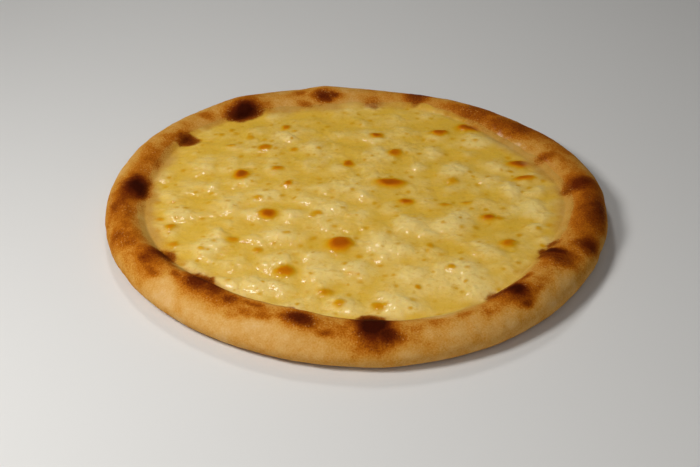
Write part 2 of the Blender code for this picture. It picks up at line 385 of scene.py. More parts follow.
# How much of curd the cheese shows: a base, what each form adds, clouds, and less towards the back, which
# paints shade there.
CURD_BASE = 0.08
CURD_OF_LUMPS = 0.34
CURD_OF_FOLDS = 0.18
CURD_OF_FINE = 0.26
CURD_OF_MIDDLING = 0.22
CURD_CLOUDS = ((0.20, 16, 401, 3),)
CURD_LESS_FOR_BACK_SHADE = 0.11
BACK_DISTANCE = 80 * MM
# Slow swell of the cheese: its height, and along x and along y the mm to each radian and the phase.
SWELL_HEIGHT = 0.8 * MM
SWELL_WAVES = ((31, 0.6), (27, -0.4))
# Towards the edge of the cheese its relief falls to a share, and its top lies a little over its level.
EDGE_BLEND = 9.0 * MM
EDGE_RELIEF = 0.35
TOP_LIFT = 0.65 * MM
# The film on the dough: mm over the dough at the edge, mm that it loses to its end, and its unevenness.
FILM_HEIGHT = 0.50
FILM_FALL = 0.85
FILM_UNEVEN = ((0.12, 9, 201, 1),)
# Distances past the edge of the cheese over which the film takes over, the gloss ends and scorches may begin,
# and the bake over which a scorch takes over.
FILM_BLEND = (-4.0 * MM, 0.5 * MM)
DRY_BLEND = (-2.0 * MM, 2.0 * MM)
SCORCH_BLEND = (-11.0 * MM, -6.0 * MM)
SCORCH_BAKE = (0.42, 0.62)
# The hidden side of the cheese: how far it drops from the film, how high over the bed it may start, and what
# its fields hold.
SIDE_DROP = 2.5 * MM
SIDE_LIMIT = 3.5 * MM
HIDDEN_FIELD = 0.3

# Colours of baking: bake, and name of a colour in the settings.
DOUGH_RAMP = (
    (0.00, "floury"),
    (0.16, "pale_dough"),
    (0.32, "golden"),
    (0.48, "toasted"),
    (0.64, "brown"),
    (0.82, "scorched"),
    (1.00, "burnt"),
)
CHEESE_RAMP = (
    (0.00, "fat"),
    (0.30, "fat"),
    (0.46, "orange_spot"),
    (0.64, "blister"),
    (0.86, "brown"),
    (1.00, "scorched"),
)
WHITE = (1.0, 1.0, 1.0, 1.0)
# Dough that shows through the film is a little cooler.
FILM_TINT = (0.91, 0.96, 1.0, 1.0)

# Lights: name, direction from the bread, distance and side in metres.
LIGHTS = (
    ("key", (-0.55, -0.40, 0.73), 0.75, 0.20),
    ("top", (-0.16, 0.56, 0.81), 1.0, 0.15),
    ("fill", (0.10, -0.78, 0.62), 0.9, 0.6),
)
# The camera looks at this place, in mm.
LOOKS_AT = (-3.5, -16.1, 0.0)
FLOOR_HALF = 6.0


def linear(red, green, blue):
    """Linear colour with full alpha from the red, green and blue bytes that a screen shows."""
    shares = (red / 255.0, green / 255.0, blue / 255.0)
    curved = (share / 12.92 if share <= 0.04045 else ((share + 0.055) / 1.055) ** 2.4 for share in shares)
    return (*curved, 1.0)


# Numbers on the surfaces


def round_angles(count):
    """Evenly spaced angles round the bread."""
    return np.linspace(0.0, TURN, count, endpoint=False)


def waves(angle, table):
    """Sum of cosines round the bread, one for each (count, height, phase in degrees)."""
    return sum(height * np.cos(count * angle + math.radians(phase)) for count, height, phase in table)


def ease(value, low=0.0, high=1.0):
    """Smooth share from 0 at low to 1 at high: 3 t^2 - 2 t^3, where t goes evenly from one to the other."""
    share = np.clip((value - low) / (high - low), 0.0, 1.0)
    return share * share * (3.0 - 2.0 * share)


def turn_between(angle, degrees):
    """Signed turn in radians from a direction in degrees to an angle."""
    return np.angle(np.exp(1j * (angle - math.radians(degrees))))


def lattice_table(seed):
    """A shuffled list of 256 numbers and a random value from -1 to 1 for each."""
    draw = np.random.default_rng(seed)
    return draw.permutation(256), draw.uniform(-1.0, 1.0, 256)


def lattice_index(order, cell):
    """The shuffled number of each cell of a cubic lattice."""
    index = order[cell[..., 0] % 256]
    index = order[(index + cell[..., 1]) % 256]
    return order[(index + cell[..., 2]) % 256]


def soft_noise(points, cell_size, seed):
    """Smooth random height from -1 to 1: random values on a cubic lattice of cells of that size in mm, each
    blended between its eight corners with the ease 6t^5 - 15t^4 + 10t^3."""
    order, values = lattice_table(seed)
    place = points / (cell_size * MM)
    cell = np.floor(place).astype(int)
    inside = place - cell
    eased = inside**3 * (inside * (inside * 6.0 - 15.0) + 10.0)
    total = np.zeros(points.shape[:-1])
    for corner in itertools.product((0, 1), repeat=3):
        weight = np.prod(np.where(np.array(corner) == 1, eased, 1.0 - eased), axis=-1)
        total += weight * values[lattice_index(order, cell + np.array(corner))]
    return total


def rough_noise(points, cell_size, seed, layers=3):
    """Sum of soft noises, each of half the size and half the height of the one before it."""
    return sum(soft_noise(points, cell_size / 2**layer, seed + layer) / 2**layer for layer in range(layers))


def noises(points, rows):
    """Sum of rough noises, one for each row of (amount, cell in mm, seed, layers)."""
    return sum(amount * rough_noise(points, *noise) for amount, *noise in rows)


def bent(points, reach, cell_size, seed):
    """The same places moved sideways by up to about a reach in mm, so that what is read there has an uneven
    border."""
    moved = points.copy()
    moved[..., 0] += reach * MM * rough_noise(points, cell_size, seed)
    moved[..., 1] += reach * MM * rough_noise(points, cell_size, seed + 10)
    return moved


def lattice_spots(points, cell_size, seed):
    """For the nine cells of a square lattice round each place: the distance from the spot in that cell, in
    cells, and two random values from 0 to 1 that belong to it. Each spot is jogged inside its cell."""
    order, values = lattice_table(seed)
    place = points / (cell_size * MM)
    cell = np.floor(place).astype(int)
    cell[..., 2] = 0
    for step in itertools.product((-1, 0, 1), repeat=2):
        near = cell + np.array(step + (0,))
        index = lattice_index(order, near)
        middle_x = near[..., 0] + 0.5 + 0.4 * values[index]
        middle_y = near[..., 1] + 0.5 + 0.4 * values[order[index]]
        away = np.hypot(place[..., 0] - middle_x, place[..., 1] - middle_y)
        yield away, 0.5 + 0.5 * values[order[order[index]]], 0.5 + 0.5 * values[order[(index + 7) % 256]]


def pebbles(points, cell_size, seed):
    """Height from 0 to about 1 of rounded pebbles, one to each cell of a square lattice. The root of the sum
    of their squares joins them in soft valleys."""
    total = 0.0
    for away, broad, high in lattice_spots(points, cell_size, seed):
        reach = 0.65 + 0.40 * broad
        height = (0.40 + 0.60 * high) * np.clip(1.0 - (away / reach) ** 2, 0.0, 1.0) ** 2
        total = total + height**2
    return np.sqrt(total)


def dots(points, cell_size, seed, share):
    """Strength from 0 to 1 of soft dots, of which a share of the cells of a square lattice has one."""
    total = 0.0
    for away, broad, strong in lattice_spots(points, cell_size, seed):
        reach = 0.13 + 0.16 * broad
        strength = np.clip((strong - 1.0 + share) / share, 0.0, 1.0)
        total = np.maximum(total, np.sqrt(strength) * np.exp(-((away / reach) ** 2)))
    return total


def patch_share(along, across, lean, power):
    """Share of an oval patch: 1 in its middle, about a third at its half sizes, then 0. The higher the power,
    the steeper its soft border."""
    cosine, sine = math.cos(math.radians(lean)), math.sin(math.radians(lean))
    square = (along * cosine + across * sine) ** 2 + (across * cosine - along * sine) ** 2
    return np.exp(-(square**power))


# The dough's form


def crust_outline(angle, sizes):
    """Distance from the middle to the outside of the rim."""
    return sizes.crust_radius + waves(angle, CRUST_WAVES)


def cheese_outline(angle, sizes):
    """Distance from the middle to the edge of the cheese."""
    return sizes.cheese_radius + waves(angle, CHEESE_WAVES)


def front_share(angle):
    """How much a place belongs to the high front of the rim: a bell curve round the front angle."""
    turn = np.degrees(turn_between(angle, FRONT_ANGLE))
    return np.exp(-((turn / FRONT_SPREAD) ** 2))


def crown_line(angle, sizes):
    """Distance from the middle and height of the crown of the rim."""
    outside, edge, front = crust_outline(angle, sizes), cheese_outline(angle, sizes), front_share(angle)
    radius = outside - (CROWN_SHARE + FRONT_SHARE * front) * (outside - edge)
    return radius, sizes.crown_height + waves(angle, CROWN_WAVES) + FRONT_RISE * front


def grid_points(angle, radius, height):
    """Places in space from angle, distance from the middle, and height."""
    return np.stack([radius * np.cos(angle), radius * np.sin(angle), height], axis=-1)


def plan_middle(sizes):
    """Middle of the box round the crust's plan, which is set on the origin."""
    angle = round_angles(PLAN_CORNERS)
    plan = grid_points(angle, crust_outline(angle, sizes), np.zeros(PLAN_CORNERS))
    return 0.5 * (plan.min(axis=0) + plan.max(axis=0))


def puff_lift(angle, radius):
    """Height of the raised blisters: a sum of bell-shaped mounds, long along the rim."""
    total = np.zeros(np.broadcast(angle, radius).shape)
    for degrees, distance, half_length, half_width, height in PUFFS:
        along = turn_between(angle, degrees) * distance / half_length
        across = (radius / MM - distance) / half_width
        total += height * MM * np.exp(-(along**2) - across**2)
    return total


def rim_section(angle, sizes):
    """Radius and height on a grid of section place by angle. A quarter ellipse goes from the foot out to the
    belly and another from the belly in to the crown. The inner side then falls by share^1.6 to the edge of
    the cheese, and goes on under it by that power to the bed. Also gives each row's share of the blisters."""
    foot_steps, crown_steps, inner_steps, under_steps = SECTION_STEPS
    outside, edge = crust_outline(angle, sizes), cheese_outline(angle, sizes)
    crown, top = crown_line(angle, sizes)
    level = sizes.cheese_level
    foot = np.linspace(0.0, 0.5 * math.pi, foot_steps, endpoint=False)[:, None]
    side = np.linspace(0.0, 0.5 * math.pi, crown_steps, endpoint=False)[:, None]
    fall = np.linspace(0.0, 1.0, inner_steps, endpoint=False)[:, None]
    under = np.linspace(0.0, 1.0, under_steps)[:, None]
    radius = np.concatenate([
        outside - FOOT_INSET * (1.0 - np.sin(foot)),
        crown + (outside - crown) * np.cos(side),
        crown + (edge - crown) * fall,
        edge - UNDER_SLOPE * under,
    ])
    height = np.concatenate([
        BELLY_HEIGHT * (1.0 - np.cos(foot)) + 0.0 * angle,
        BELLY_HEIGHT + (top - BELLY_HEIGHT) * np.sin(side),
        top + (level - top) * fall**FALL_POWER,
        FLOOR_HEIGHT + (level - FLOOR_HEIGHT) * (1.0 - under) ** FALL_POWER + 0.0 * angle,
    ])
    lift_share = np.concatenate([
        ease(foot, 0.0, 0.5 * math.pi),
        np.ones_like(side),
        ease(1.0 - fall, 0.0, LIFT_FADE),
        np.zeros_like(under),
    ])
    return radius, height, lift_share


def grid_normals(points):
    """Unit normals of a grid of rows by angles: the cross product of the steps along and across the rows."""
    around = np.roll(points, -1, axis=1) - np.roll(points, 1, axis=1)
    along = np.gradient(points, axis=0)
    normal = np.cross(around, along)
    return normal / np.linalg.norm(normal, axis=-1, keepdims=True)


def rim_rise(points):
    """Distance in mm along the section from the belly to each row, less than zero under it."""
    step = np.linalg.norm(np.diff(points, axis=0), axis=-1)
    rise = np.concatenate([np.zeros((1, step.shape[1])), np.cumsum(step, axis=0)])
    return (rise - rise[BELLY_ROW]) / MM


def crust_bake(points, angle, rise):
    """Bake of the dough: a blotchy ground, browner on the crown, toasted stretches, and the scorched patches.
    Their borders are broken up by bending the place they are read at."""
    bend_along = noises(points, BEND_ALONG)
    bend_across = noises(points, BEND_ACROSS)
    crown = np.exp(-(((rise - CROWN_RISE) / CROWN_SPREAD) ** 2))
    ground = PLAIN_BAKE + CROWN_BAKE * crown + noises(points, DOUGH_BLOTCHES)
    for degrees, half_turn, middle, half_width, amount in TOASTED:
        along = np.degrees(turn_between(angle, degrees)) / half_turn
        ground = ground + amount * np.exp(-(along**2) - ((rise - middle) / half_width) ** 2)
    bake = ground
    radius = np.hypot(points[..., 0], points[..., 1]) / MM
    for degrees, middle, half_length, half_width, lean, amount in SCORCHES:
        along = (turn_between(angle, degrees) * radius + bend_along) / half_length
        across = (rise - middle + bend_across) / half_width
        share = patch_share(along, across, lean, power=1.3)
        halo = HALO_BAKE * amount * np.exp(-HALO_FALL * (along**2 + across**2))
        bake = np.maximum(bake, ground + (amount - ground) * share) + halo * (1.0 - share)
    return bake


def dough_skin(sizes):
    """The outer skin of the dough on a grid of section place by angle: its places, and its rise and bake.
    Blisters and relief are added along the normals."""
    angle = round_angles(COLUMNS)
    radius, height, lift_share = rim_section(angle, sizes)
    plain = grid_points(angle, radius, height)
    rise = rim_rise(plain)
    raised = plain + grid_normals(plain) * (puff_lift(angle, radius) * lift_share)[..., None]
    bake = crust_bake(raised, angle, rise)
    relief = noises(raised, DOUGH_RELIEF) + ease(bake, *SCORCHED_BAKE) * noises(raised, SCORCHED_RELIEF)
    relief = relief * MM * ease(height, 0.0, RELIEF_OFF_FLOOR)
    relief = relief * ease(radius - cheese_outline(angle, sizes), *RELIEF_OFF_BED)
    return raised + grid_normals(raised) * relief[..., None], rise, bake


def margin_tables(sizes):
    """Height and rise of the dough's inner side, by angle and by steps outwards from the cheese's edge."""
    skin, rise, _ = dough_skin(sizes)
    edge = cheese_outline(round_angles(COLUMNS), sizes)
    rows = slice(EDGE_ROW, CROWN_ROW, -1)
    distance = np.maximum.accumulate(np.hypot(skin[rows, :, 0], skin[rows, :, 1]), axis=0)
    reach = np.arange(MARGIN_STEPS) * MARGIN_STEP
    tables = []
    for values in (skin[rows, :, 2], rise[rows]):
        columns = zip(edge, distance.T, values.T)
        tables.append(np.array([np.interp(start + reach, *column) for start, *column in columns]))
    return tables


def read_table(table, angle, reach):
    """Value of a table by angle and reach past the edge, blended between its four nearest entries."""
    column = np.mod(angle, TURN) / TURN * COLUMNS
    step = np.clip(reach / MARGIN_STEP, 0.0, MARGIN_STEPS - 1.001)
    left, low = np.floor(column).astype(int), np.floor(step).astype(int)
    across, along = column - left, step - low
    left, right = left % COLUMNS, (left + 1) % COLUMNS
    near = table[left, low] * (1.0 - across) + table[right, low] * across
    far = table[left, low + 1] * (1.0 - across) + table[right, low + 1] * across
    return near * (1.0 - along) + far * along


# The cheese's form


def lump_rows():
    """Rows of x, y, half length, half width, turn and height of all curds: the placed ones, and small lumps
    on a sunflower spiral, each jogged a little."""
    draw = np.random.default_rng(LUMP_SEED)
    rows = [tuple(value * MM for value in row[:4]) + (row[4], row[5] * MM) for row in CURDS]
    for index in range(LUMP_COUNT):
        radius = CHEESE_RADIUS * math.sqrt((index + 0.5) / LUMP_COUNT) + draw.uniform(-LUMP_JOG, LUMP_JOG)
        angle = index * GOLDEN_ANGLE + draw.uniform(-LUMP_TURN, LUMP_TURN)
        size = draw.uniform(*LUMP_SIZE)
        place = (radius * math.cos(angle), radius * math.sin(angle))
        width = size * draw.uniform(*LUMP_ROUNDNESS)
        rows.append((*place, size, width, draw.uniform(0.0, 180.0), draw.uniform(*LUMP_HEIGHT)))
    return rows


def lump_height(points):
    """Height of the curds: bell-shaped mounds, joined by the cube root of the sum of their cubes."""
    moved = bent(points, *CURD_BEND)
    total = np.zeros(points.shape[:-1])
    for middle_x, middle_y, half_length, half_width, turn, height in lump_rows():
        along = (moved[..., 0] - middle_x) / half_length
        across = (moved[..., 1] - middle_y) / half_width
        total += (height / MM * patch_share(along, across, turn, power=1.0)) ** 3
    return total ** (1.0 / 3.0) * MM


def cheese_swell(points):
    """Slow swell of the melted cheese: a product of two cosines."""
    (width, phase), (depth, other_phase) = SWELL_WAVES
    across = np.cos(points[..., 0] / (width * MM) + phase)
    return SWELL_HEIGHT * across * np.cos(points[..., 1] / (depth * MM) + other_phase)


def blisters(points):
    """Height in mm of the placed blisters of the cheese, and bake of the cheese. Each blister has a browned
    middle, shifted towards its back and right as painted shade, and a wider halo. Many small yellow flecks
    lie between them."""
    moved = bent(points, *BLISTER_BEND)
    dome, bake = np.zeros(points.shape[:-1]), np.zeros(points.shape[:-1])
    for middle_x, middle_y, half_length, half_width, turn, amount in SPOTS:
        along = (moved[..., 0] / MM - middle_x) / half_length
        across = (moved[..., 1] / MM - middle_y) / half_width
        height = BLISTER_RISE * min(half_length, half_width) * amount
        dome = np.maximum(dome, height * patch_share(along, across, turn, power=1.6))
        # The browned middle is read shifted to the back and right, which paints shade on the blister's far
        # side.
        browned_and_shaded_core = patch_share(along - CORE_SHIFT_TO_SHADE[0], across - CORE_SHIFT_TO_SHADE[1], turn, power=1.4)
        halo = patch_share(BLISTER_HALO_SIZE * along, BLISTER_HALO_SIZE * across, turn, power=1.0)
        bake = np.maximum(bake, amount * (BLISTER_CORE * browned_and_shaded_core + BLISTER_HALO * halo))
    for amount, cell_size, seed, share in FLECKS:
        bake = np.maximum(bake, amount * dots(moved, cell_size, seed, share))
    return dome, bake


def cheese_relief(flat):
    """Height over the level of the cheese, its bake, and how much of curd it is, at places in its plan."""
    dome, bake = blisters(flat)
    lumps = lump_height(flat)
    moved = bent(flat, *PEBBLE_BEND)
    folds = noises(moved, FOLDS)
    grains, fine, middling = (pebbles(moved, cell_size, seed) for cell_size, seed in PEBBLES)
    calmer = CALMER * ease(flat[..., 0], *CALMER_RIGHT)
    lively = ease(LIVELY + noises(flat, LIVELY_PATCHES) + LIVELY_LUMPS * lumps / MM - calmer)
    melt = FOLD_RELIEF * folds + (GRAIN_RELIEF + LIVELY_GRAIN_RELIEF * lively) * grains
    melt = melt + lively * (MIDDLING_RELIEF * middling + FINE_RELIEF * fine)
    melt = MELT_RELIEF * melt * (1.0 - SMOOTH_BLISTER * ease(dome, 0.0, BLISTER_HEIGHT))
    height = CURD_RELIEF * lumps + cheese_swell(flat) + (melt + dome - RELIEF_BASE) * MM
    curd = CURD_BASE + CURD_OF_LUMPS * lumps / MM + CURD_OF_FOLDS * folds
    curd = curd + lively * (CURD_OF_MIDDLING * middling + CURD_OF_FINE * fine)
    # Less curd towards the back darkens the cheese there as painted shade.
    curd = curd + noises(flat, CURD_CLOUDS) - CURD_LESS_FOR_BACK_SHADE * flat[..., 1] / BACK_DISTANCE
    return height, bake, np.clip(curd, 0.0, 1.0)


def cheese_top(angle, ring, sizes):
    """Places of the cheese's top, and its fields. Inside its edge it is the level plus the relief. Past the
    edge it is a film on the dough's inner side, which thins until it dips into it and takes on its bake."""
    edge = cheese_outline(angle, sizes)
    radius = (edge + sizes.film_width) * ring
    past_edge = radius - edge
    reach = np.maximum(past_edge, 0.0)
    flat = grid_points(angle, radius, np.zeros_like(radius))
    relief, bake, curd = cheese_relief(flat)
    relief_share = EDGE_RELIEF + (1.0 - EDGE_RELIEF) * ease(-past_edge, 0.0, EDGE_BLEND)
    inside = sizes.cheese_level + TOP_LIFT + relief_share * relief
    heights, rises = margin_tables(sizes)
    dough_height = read_table(heights, angle, reach)
    film = FILM_HEIGHT - FILM_FALL * reach / sizes.film_width + noises(flat, FILM_UNEVEN)
    over = ease(past_edge, *FILM_BLEND)
    height = inside * (1.0 - over) + (dough_height + film * MM) * over

    rise = read_table(rises, angle, reach) + np.maximum(-past_edge, 0.0) / MM
    toast = crust_bake(grid_points(angle, radius, dough_height), angle, rise)
    tint_edge = np.interp(np.degrees(angle), *zip(*TINT_EDGES), period=360.0)
    rim = ease(past_edge / MM - tint_edge + noises(flat, TINT_RAGGED), -TINT_BLEND, TINT_BLEND)
    rim = np.maximum(rim, ease(toast, *SCORCH_BAKE) * ease(past_edge, *SCORCH_BLEND))
    dry = np.maximum(rim, ease(past_edge, *DRY_BLEND))
    fields = {"bake": bake, "curd": curd, "rim": rim, "toast": toast, "dry": dry}
    return grid_points(angle, radius, height), fields


# Meshes


def band_quads(index):
    """Four-cornered faces between the rows of a grid of corners that closes on itself along its rows."""
    following = np.roll(index, -1, axis=1)
    faces = np.stack([index[:-1], following[:-1], following[1:], index[1:]], axis=-1)
    return faces.reshape(-1, 4)


def fan(ring, middle, upwards):
    """Three-cornered faces from a ring of corners to the one in its middle."""
    following = np.roll(ring, -1)
    centre = np.full_like(ring, middle)
    faces = (ring, following, centre) if upwards else (following, ring, centre)
    return np.stack(faces, axis=-1)


def disc_grid(count):
    """Ring share from 0 to 1 and angle on a square grid that is wrapped onto a disc. Each square round the
    middle of the grid becomes a ring, and each side of it a quarter turn."""
    side = np.linspace(-1.0, 1.0, count)
    across, along = np.meshgrid(side, side)
    sideways = np.abs(across) >= np.abs(along)
    far = np.where(sideways, across, along)
    near = np.where(sideways, along, -across)
    turn = 0.25 * math.pi * near / np.where(far == 0.0, 1.0, far)
    angle = turn + np.where(sideways, 0.0, 0.5 * math.pi) + np.where(far < 0.0, math.pi, 0.0)
    return np.abs(far), angle


def border_loop(index):
    """Corners along the border of a square grid, anticlockwise."""
    return np.concatenate([index[0, :-1], index[:-1, -1], index[-1, :0:-1], index[:0:-1, 0]])


def add_object(name, data):
    """A new object in the scene. It replaces one of that name, so that an operator can run again."""
    old = bpy.data.objects.get(name)
    if old is not None:
        bpy.data.objects.remove(old, do_unlink=True)
    new = bpy.data.objects.new(name, data)
    bpy.context.scene.collection.objects.link(new)
    return new


def make_piece(name, points, quads, triangles, fields, sizes):
    """A smooth mesh object inside the box of the solids, with a value of each field at each corner."""
    low, high = (np.array(corner) for corner in SOLID_BOX)
    points = np.clip(points - plan_middle(sizes), low, high)
    mesh = bpy.data.meshes.new(name)
    mesh.from_pydata(points.tolist(), [], quads.tolist() + triangles.tolist())
    mesh.update()
    mesh.shade_smooth()
    for field, values in fields.items():
        attribute = mesh.attributes.new(field, "FLOAT", "POINT")
        attribute.data.foreach_set("value", np.ascontiguousarray(values, dtype=np.float32))
    return add_object(name, mesh)


def crust_mesh(sizes):
    """The whole skin of the dough: underside, rim and the bed under the cheese, as one grid of rings by angle
    that closes in a point below and another above."""
    angle = round_angles(COLUMNS)
    skin, rise, bake = dough_skin(sizes)
    share = np.linspace(UNDERSIDE_START, 1.0, UNDERSIDE_RINGS, endpoint=False)[:, None]
    foot = crust_outline(angle, sizes) - FOOT_INSET
    below = grid_points(angle, foot * share, np.zeros((UNDERSIDE_RINGS, COLUMNS)))
    dimples = ease(noises(below, DIMPLES), *DIMPLE_BLEND) * ease(1.0 - share, 0.0, DIMPLE_FADE)
    below[..., 2] += DIMPLE_HEIGHT * dimples
    rows = np.concatenate([below, skin])
    rows_bake = np.concatenate([UNDERSIDE_BAKE + noises(below, UNDERSIDE_BLOTCHES), bake])
    rows_wet = np.concatenate([np.zeros_like(dimples), ease(rise - rise[EDGE_ROW], -WET_BAND, 0.0)])

    index = np.arange(rows_bake.size).reshape(rows_bake.shape)
    bottom, bed = index.size, index.size + 1
    triangles = np.concatenate([fan(index[0], bottom, False), fan(index[-1], bed, True)])
    points = np.concatenate([rows.reshape(-1, 3), [[0.0, 0.0, 0.0], [0.0, 0.0, FLOOR_HEIGHT]]])
    middles_bake, middles_wet = [UNDERSIDE_BAKE, BED_BAKE], [0.0, 1.0]
    fields = {"bake": np.append(rows_bake, middles_bake), "wet": np.append(rows_wet, middles_wet)}
    return make_piece("crust_skin", points, band_quads(index), triangles, fields, sizes)


def cheese_mesh(sizes):
    """The cheese as a closed piece: a dense top on a disc grid, and an underside that follows the well."""
    ring, angle = disc_grid(CHEESE_GRID)
    top, fields = cheese_top(angle, ring, sizes)
    index = np.arange(ring.size).reshape(ring.shape)
    quads = np.stack([index[:-1, :-1], index[:-1, 1:], index[1:, 1:], index[1:, :-1]], axis=-1).reshape(-1, 4)

    border = border_loop(index)
    round_angle = angle.ravel()[border]
    bed_radius = cheese_outline(round_angle, sizes) - UNDER_SLOPE
    share = np.linspace(0.0, 1.0, UNDER_LOOPS + 1)[1:, None]
    start = top.reshape(-1, 3)[border]
    start_radius = np.hypot(start[:, 0], start[:, 1])
    start_height = np.minimum(start[:, 2] - SIDE_DROP, FLOOR_HEIGHT + SIDE_LIMIT)
    low_radius = start_radius + (bed_radius - start_radius) * share
    under = grid_points(round_angle, low_radius, start_height * (1.0 - share) + FLOOR_HEIGHT * share)
    under_index = ring.size + np.arange(low_radius.size).reshape(low_radius.shape)
    loops = np.concatenate([border[None, :], under_index])
    points = np.concatenate([top.reshape(-1, 3), under.reshape(-1, 3), [[0.0, 0.0, FLOOR_HEIGHT]]])
    triangles = fan(loops[-1], len(points) - 1, False)

    hidden = np.full(len(points) - ring.size, HIDDEN_FIELD)
    fields = {name: np.append(values, hidden) for name, values in fields.items()}
    quads = np.concatenate([quads, band_quads(loops[::-1])])
    return make_piece("melted_cheese", points, quads, triangles, fields, sizes)


# Materials


def fill_inputs(tree, node, inputs):
    """Sets each named or numbered input of a node to a value, or links it to where its value comes from."""
    for key, value in inputs.items():
        if isinstance(value, bpy.types.NodeSocket):
            tree.links.new(value, node.inputs[key])
        else:
            node.inputs[key].default_value = value


def add_node(tree, kind, inputs, **settings):
    """A node of that kind with its settings and inputs."""
    node = tree.nodes.new(kind)
    for setting, value in settings.items():
        setattr(node, setting, value)
    fill_inputs(tree, node, inputs)
    return node


def math_node(tree, operation, first, second, clamp=False):
    """The result of one sum on two values."""
    inputs = {0: first, 1: second}
    return add_node(tree, "ShaderNodeMath", inputs, operation=operation, use_clamp=clamp).outputs[0]


def times(tree, *values):
    """The product of values."""
    return functools.reduce(functools.partial(math_node, tree, "MULTIPLY"), values)


def one_less(tree, value):
    """One minus a value."""
    return math_node(tree, "SUBTRACT", 1.0, value)


def mix_colours(tree, share, first, second, blend="MIX"):
    """One colour blended over another by a share."""
    inputs = {0: share, 6: first, 7: second}
    return add_node(tree, "ShaderNodeMix", inputs, data_type="RGBA", blend_type=blend).outputs[2]


def ease_node(tree, value, low, high):
    """Smooth share from 0 at low to 1 at high."""
    inputs = {"Value": value, "From Min": low, "From Max": high}
    return add_node(tree, "ShaderNodeMapRange", inputs, interpolation_type="SMOOTHSTEP").outputs["Result"]


def noise_node(tree, place, scale, detail=3.0, roughness=0.5, distortion=0.0):
    """Value of a cloud noise at a place, which swings about 0.5."""
    inputs = {"Vector": place, "Scale": scale, "Detail": detail, "Roughness": roughness}
    return add_node(tree, "ShaderNodeTexNoise", inputs | {"Distortion": distortion}).outputs["Fac"]


def pit_node(tree, place, scale, low, high):
    """Share that is 0 inside small round pits, up to a distance low, and 1 from a distance high on."""
    cells = add_node(tree, "ShaderNodeTexVoronoi", {"Vector": place, "Scale": scale}, feature="F1")
    return ease_node(tree, cells.outputs["Distance"], low, high)


def attribute_value(tree, field):
    """The value of a field that the mesh carries."""
    return add_node(tree, "ShaderNodeAttribute", {}, attribute_name=field).outputs["Fac"]


def baked_speckle(tree, given):
    """Bake of a surface, broken up by soft blotches, and by grains that show most where it is half baked."""
    bake, place = given["Bake"], given["Place"]
    blotches = math_node(tree, "SUBTRACT", noise_node(tree, place, 210.0, detail=4.0, roughness=0.6), 0.5)
    grains = math_node(tree, "SUBTRACT", noise_node(tree, place, 1100.0, detail=2.0, roughness=0.6), 0.5)
    half_baked = math_node(tree, "ADD", times(tree, one_less(tree, bake), bake, 3.2), 0.15)
    total = math_node(tree, "ADD", bake, times(tree, blotches, given["Blotch"]))
    return math_node(tree, "ADD", total, times(tree, grains, given["Grain"], half_baked), clamp=True)


def light_specks(tree, given):
    """Share of light specks that a toasted surface shows: small round dots in drifting patches."""
    bake, place = given["Bake"], given["Place"]
    dot = one_less(tree, pit_node(tree, place, 560.0, 0.14, 0.34))
    patch = ease_node(tree, noise_node(tree, place, 70.0, detail=2.0), 0.46, 0.62)
    toasted, burnt = ease_node(tree, bake, 0.22, 0.42), ease_node(tree, bake, 0.62, 0.86)
    return times(tree, dot, patch, math_node(tree, "SUBTRACT", toasted, burnt))


def fine_pores(tree, given):
    """Height of fine pores and grain over a surface, from two cloud noises and small round pits."""
    inputs = {0: given["Place"], "Scale": given["Size"]}
    place = add_node(tree, "ShaderNodeVectorMath", inputs, operation="SCALE").outputs["Vector"]
    coarse = noise_node(tree, place, 1.0, detail=3.0, roughness=0.55)
    fine = times(tree, noise_node(tree, place, 3.4, detail=2.0, roughness=0.6), 0.5)
    pits = times(tree, pit_node(tree, place, 1.3, 0.05, 0.32), given["Pits"])
    return math_node(tree, "ADD", math_node(tree, "ADD", coarse, fine), pits)


# What both finishes use: its name, the numbers that it takes beside a place, and what makes its nodes.
GROUPS = {
    "baked_speckle": (("Bake", "Blotch", "Grain"), baked_speckle),
    "light_specks": (("Bake",), light_specks),
    "fine_pores": (("Size", "Pits"), fine_pores),
}


def shared_group(name):
    """The node group of that name, built when it is first asked for."""
    if name not in bpy.data.node_groups:
        numbers, build = GROUPS[name]
        group = bpy.data.node_groups.new(name, "ShaderNodeTree")
        group.interface.new_socket(name="Place", in_out="INPUT", socket_type="NodeSocketVector")
        for number in numbers:
            group.interface.new_socket(name=number, in_out="INPUT", socket_type="NodeSocketFloat")
        group.interface.new_socket(name="Result", in_out="OUTPUT", socket_type="NodeSocketFloat")
        given, result = group.nodes.new("NodeGroupInput"), group.nodes.new("NodeGroupOutput")
        group.links.new(build(group, given.outputs), result.inputs["Result"])
    return bpy.data.node_groups[name]


def group_value(tree, name, inputs):
    """The result of a shared group that is placed in a material with its own values."""
    return add_node(tree, "ShaderNodeGroup", inputs, node_tree=shared_group(name)).outputs["Result"]


def pore_normal(tree, place, size, pits, strength, distance):
    """Normal of a surface that fine pores roughen."""
    height = group_value(tree, "fine_pores", {"Place": place, "Size": size, "Pits": pits})
    inputs = {"Height": height, "Strength": strength, "Distance": distance}
    return add_node(tree, "ShaderNodeBump", inputs).outputs["Normal"]


def baked_ramp(tree, bake, stops, colours):
    """Colours of baking, from raw to burnt, read at a bake."""
    ramp = add_node(tree, "ShaderNodeValToRGB", {"Fac": bake})
    elements = ramp.color_ramp.elements
    while len(elements) < len(stops):
        elements.new(0.5)
    for element, (place, name) in zip(elements, stops):
        element.position = place
        element.color = getattr(colours, name)
    return ramp.outputs["Color"]


def new_material(name):
    """A material with nodes, its Principled shader, and Object coordinates."""
    material = bpy.data.materials.new(name)
    material.use_nodes = True
    tree = material.node_tree
    place = add_node(tree, "ShaderNodeTexCoord", {}).outputs["Object"]
    return material, tree, tree.nodes["Principled BSDF"], place


